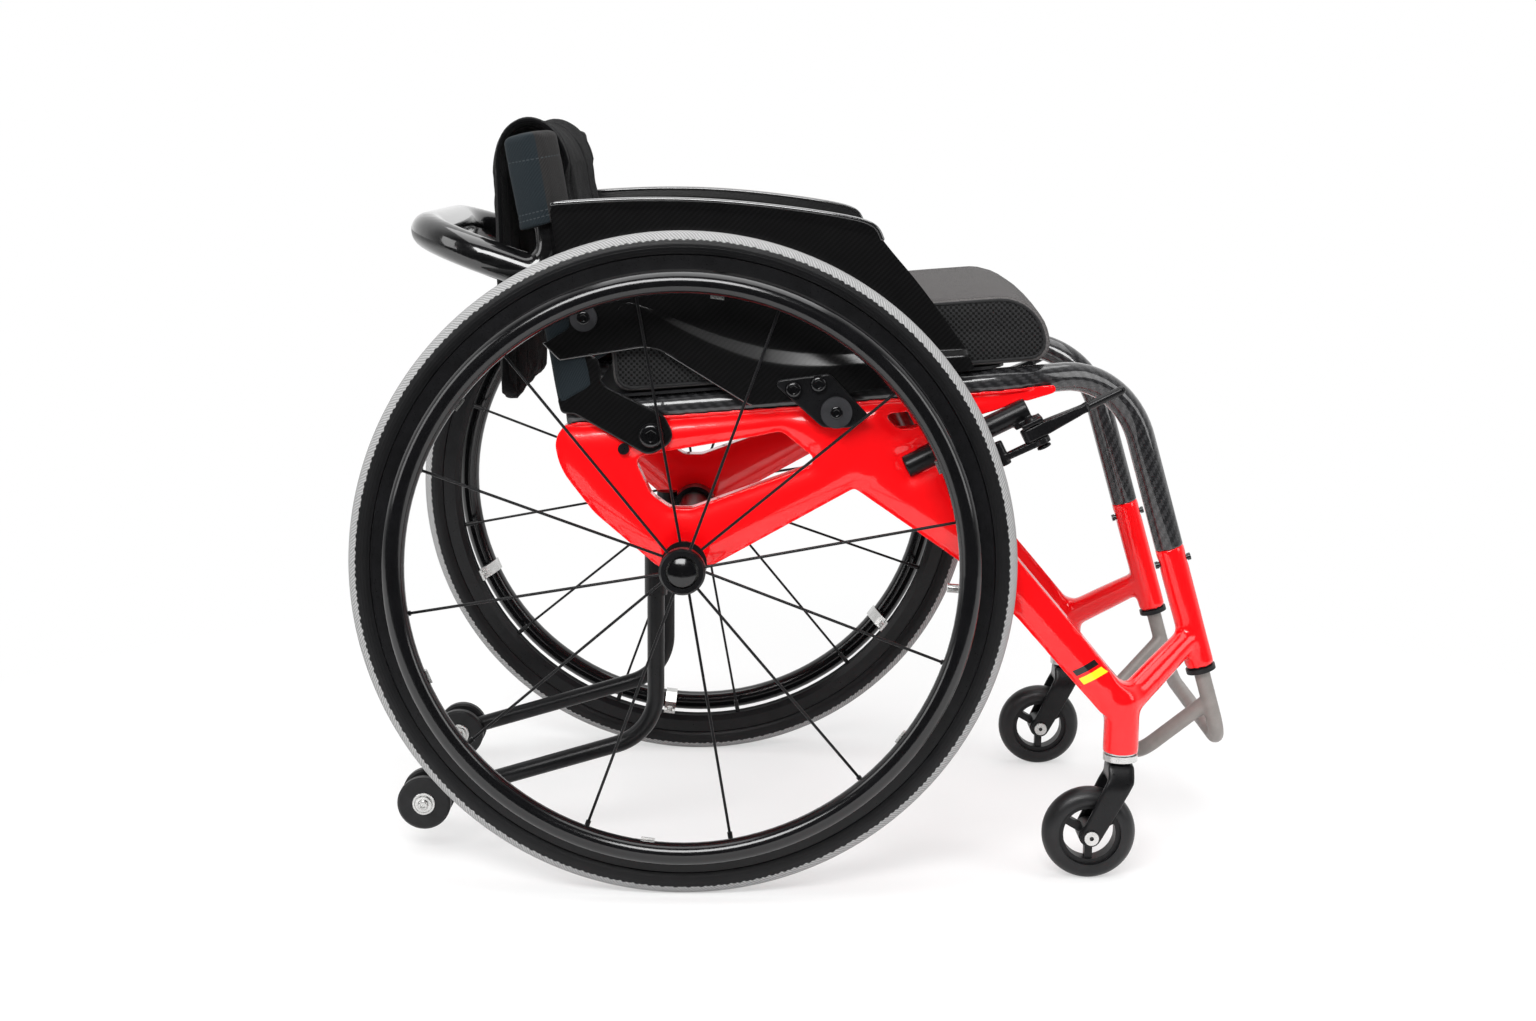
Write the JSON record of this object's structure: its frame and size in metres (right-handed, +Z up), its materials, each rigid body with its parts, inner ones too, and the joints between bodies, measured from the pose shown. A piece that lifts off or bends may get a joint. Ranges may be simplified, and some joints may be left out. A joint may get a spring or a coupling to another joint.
{
  "type": "sports wheelchair",
  "caption": "Rigid-frame sports wheelchair with cambered quick-release wheels, casters, fold-down back with push bar, anti-tippers, scissor brakes and sliding footrest.",
  "frame": {"origin": "on the floor under the middle of the part's box", "axes": "+X forward, +Y to the occupant's left, +Z up"},
  "size_m": [0.8043, 0.5488, 0.6856],
  "materials": {
    "red_paint": "gloss red lacquer",
    "carbon_gloss": "clear-coated carbon weave",
    "carbon_matte": "satin carbon weave",
    "black_metal": "satin black anodised",
    "black_plastic": "satin black",
    "steel": "bright steel",
    "tyre": "black rubber with a light grey tread band",
    "caster_tyre": "soft black rubber",
    "grey_metal": "matte warm grey",
    "cushion_fabric": "charcoal fabric over spacer-mesh sides",
    "back_fabric": "black pile fabric with slate sleeves"
  },
  "bodies": {
    "frame": {"side_frame_right": "red_paint", "side_frame_left": "red_paint", "seat_rail_right": "carbon_gloss", "seat_rail_left": "carbon_gloss", "axle_tube": "black_metal", "cross_tube": "black_metal", "axle_receivers": "steel", "anti_tip_receivers": "black_metal", "caster_head_bearings": "steel", "footrest_bushes": "black_plastic", "footrest_screws": "black_metal", "seat_base": "carbon_matte", "seat_cushion": "cushion_fabric", "side_guard_right": "carbon_matte", "side_guard_left": "carbon_matte", "guard_brackets": "black_metal", "guard_fasteners": "black_metal", "back_pivots": "black_metal", "brake_mounts": "black_metal"},
    "footrest": {"footrest_frame": "grey_metal"},
    "caster_right": {"caster_fork_right": "black_metal", "caster_axle_right": "steel"},
    "caster_wheel_right": {"caster_rim_right": "black_plastic", "caster_tyre_right": "caster_tyre", "caster_bearings_right": "steel"},
    "axle_right": {"axle_pin_right": "steel"},
    "wheel_right": {"tyre_right": "tyre", "rim_right": "black_metal", "spokes_right": "black_metal", "hub_right": "black_metal", "hub_bearings_right": "steel", "handrim_right": "black_metal", "rim_fittings_right": "steel"},
    "button_right": {"axle_button_right": "black_plastic"},
    "anti_tip_right": {"anti_tip_arm_right": "black_metal"},
    "anti_tip_rollers_right": {"anti_tip_wheels_right": "black_plastic"},
    "lever_right": {"brake_lever_right": "black_metal"},
    "shoe_right": {"brake_shoe_right": "black_metal"},
    "caster_left": {"caster_fork_left": "black_metal", "caster_axle_left": "steel"},
    "caster_wheel_left": {"caster_rim_left": "black_plastic", "caster_tyre_left": "caster_tyre", "caster_bearings_left": "steel"},
    "axle_left": {"axle_pin_left": "steel"},
    "wheel_left": {"tyre_left": "tyre", "rim_left": "black_metal", "spokes_left": "black_metal", "hub_left": "black_metal", "hub_bearings_left": "steel", "handrim_left": "black_metal", "rim_fittings_left": "steel"},
    "button_left": {"axle_button_left": "black_plastic"},
    "anti_tip_left": {"anti_tip_arm_left": "black_metal"},
    "anti_tip_rollers_left": {"anti_tip_wheels_left": "black_plastic"},
    "lever_left": {"brake_lever_left": "black_metal"},
    "shoe_left": {"brake_shoe_left": "black_metal"},
    "back": {"back_frame": "carbon_gloss", "back_hinge_plates": "black_metal", "back_upholstery": "back_fabric"}
  },
  "joints": [
    {"name": "footrest_slide", "type": "slide", "parent": "frame", "child": "footrest", "axis": [-0.2847, 0, 0.9586], "range_m": [-0.04, 0.012]},
    {"name": "wheel_release_right", "type": "slide", "parent": "frame", "child": "axle_right", "axis": [0, -0.999, 0.0436], "range_m": [0, 0.11]},
    {"name": "wheel_spin_right", "type": "hinge", "parent": "axle_right", "child": "wheel_right", "pos_m": [-0.10715, -0.2225, 0.29473], "axis": [0, -0.999, 0.0436], "continuous": true},
    {"name": "axle_button_right", "type": "slide", "parent": "axle_right", "child": "button_right", "axis": [0, 0.999, -0.0436], "range_m": [0, 0.004], "stiffness_N_per_m": 1500},
    {"name": "caster_swivel_right", "type": "hinge", "parent": "frame", "child": "caster_right", "pos_m": [0.29135, -0.185, 0.1], "axis": [0, 0, 1], "continuous": true},
    {"name": "caster_spin_right", "type": "hinge", "parent": "caster_right", "child": "caster_wheel_right", "pos_m": [0.26435, -0.185, 0.043], "axis": [0, 1, 0], "continuous": true},
    {"name": "anti_tip_swivel_right", "type": "hinge", "parent": "frame", "child": "anti_tip_right", "pos_m": [-0.13615, -0.12, 0.29473], "axis": [0, 0, -1], "range_deg": [0, 180]},
    {"name": "anti_tip_spin_right", "type": "hinge", "parent": "anti_tip_right", "child": "anti_tip_rollers_right", "pos_m": [-0.35315, -0.12, 0.05003], "axis": [0, 1, 0], "continuous": true},
    {"name": "brake_lever_right", "type": "hinge", "parent": "frame", "child": "lever_right", "pos_m": [0.20485, -0.1953, 0.41503], "axis": [0.4478, 0, -0.8942], "range_deg": [0, 80]},
    {"name": "brake_shoe_right", "type": "hinge", "parent": "frame", "child": "shoe_right", "pos_m": [0.20485, -0.1953, 0.41503], "axis": [0.4478, 0, -0.8942], "range_deg": [-36, 0]},
    {"name": "wheel_release_left", "type": "slide", "parent": "frame", "child": "axle_left", "axis": [0, 0.999, 0.0436], "range_m": [0, 0.11]},
    {"name": "wheel_spin_left", "type": "hinge", "parent": "axle_left", "child": "wheel_left", "pos_m": [-0.10715, 0.2225, 0.29473], "axis": [0, 0.999, 0.0436], "continuous": true},
    {"name": "axle_button_left", "type": "slide", "parent": "axle_left", "child": "button_left", "axis": [0, -0.999, -0.0436], "range_m": [0, 0.004], "stiffness_N_per_m": 1500},
    {"name": "caster_swivel_left", "type": "hinge", "parent": "frame", "child": "caster_left", "pos_m": [0.29135, 0.185, 0.1], "axis": [0, 0, 1], "continuous": true},
    {"name": "caster_spin_left", "type": "hinge", "parent": "caster_left", "child": "caster_wheel_left", "pos_m": [0.26435, 0.185, 0.043], "axis": [0, 1, 0], "continuous": true},
    {"name": "anti_tip_swivel_left", "type": "hinge", "parent": "frame", "child": "anti_tip_left", "pos_m": [-0.13615, 0.12, 0.29473], "axis": [0, 0, 1], "range_deg": [0, 180]},
    {"name": "anti_tip_spin_left", "type": "hinge", "parent": "anti_tip_left", "child": "anti_tip_rollers_left", "pos_m": [-0.35315, 0.12, 0.05003], "axis": [0, 1, 0], "continuous": true},
    {"name": "brake_lever_left", "type": "hinge", "parent": "frame", "child": "lever_left", "pos_m": [0.20485, 0.1953, 0.41503], "axis": [-0.4478, 0, 0.8942], "range_deg": [0, 80]},
    {"name": "brake_shoe_left", "type": "hinge", "parent": "frame", "child": "shoe_left", "pos_m": [0.20485, 0.1953, 0.41503], "axis": [-0.4478, 0, 0.8942], "range_deg": [-36, 0]},
    {"name": "backrest_fold", "type": "hinge", "parent": "frame", "child": "back", "pos_m": [-0.13715, 0, 0.40703], "axis": [0, 1, 0], "range_deg": [0, 60], "deforming": ["seat_cushion"]}
  ],
  "couplings": [
    {"joint": "brake_shoe_right", "follows": "brake_lever_right", "ratio": -0.45},
    {"joint": "brake_shoe_left", "follows": "brake_lever_left", "ratio": -0.45}
  ]
}
